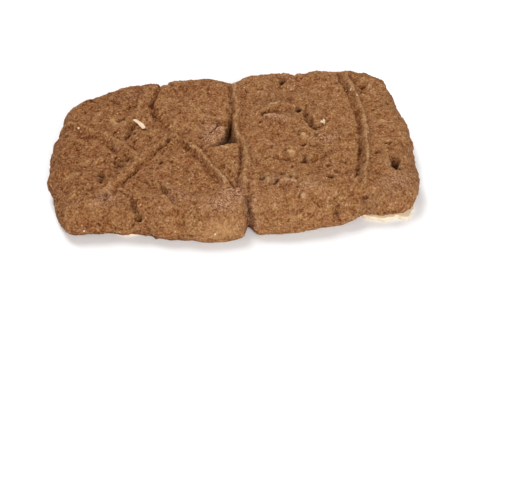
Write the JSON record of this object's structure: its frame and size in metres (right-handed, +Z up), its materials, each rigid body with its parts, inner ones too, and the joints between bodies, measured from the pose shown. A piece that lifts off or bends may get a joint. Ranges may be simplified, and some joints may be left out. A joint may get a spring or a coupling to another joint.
{
  "type": "speculaas cookie",
  "caption": "Moulded windmill speculaas, a flat brown spiced biscuit with crossed sails and a tower in low relief, sliced almonds baked into its underside.",
  "frame": {"origin": "under the middle of the biscuit's box, on the surface it lies on", "axes": "+X along the mill, from its sails to its foot; +Y away from the edge where two almond slices show; +Z up, out of the moulded face"},
  "size_m": [0.076, 0.0488, 0.0082],
  "materials": {
    "speculaas_crust": "matte, grainy baked dough",
    "sliced_almond": "satin, toasted nut"
  },
  "bodies": {
    "root": {"cookie": "speculaas_crust", "almond_slice_1": "sliced_almond", "almond_slice_2": "sliced_almond", "almond_slice_3": "sliced_almond", "almond_slice_4": "sliced_almond", "almond_slice_5": "sliced_almond", "almond_slice_6": "sliced_almond", "almond_slice_7": "sliced_almond", "almond_slice_8": "sliced_almond"}
  },
  "joints": []
}
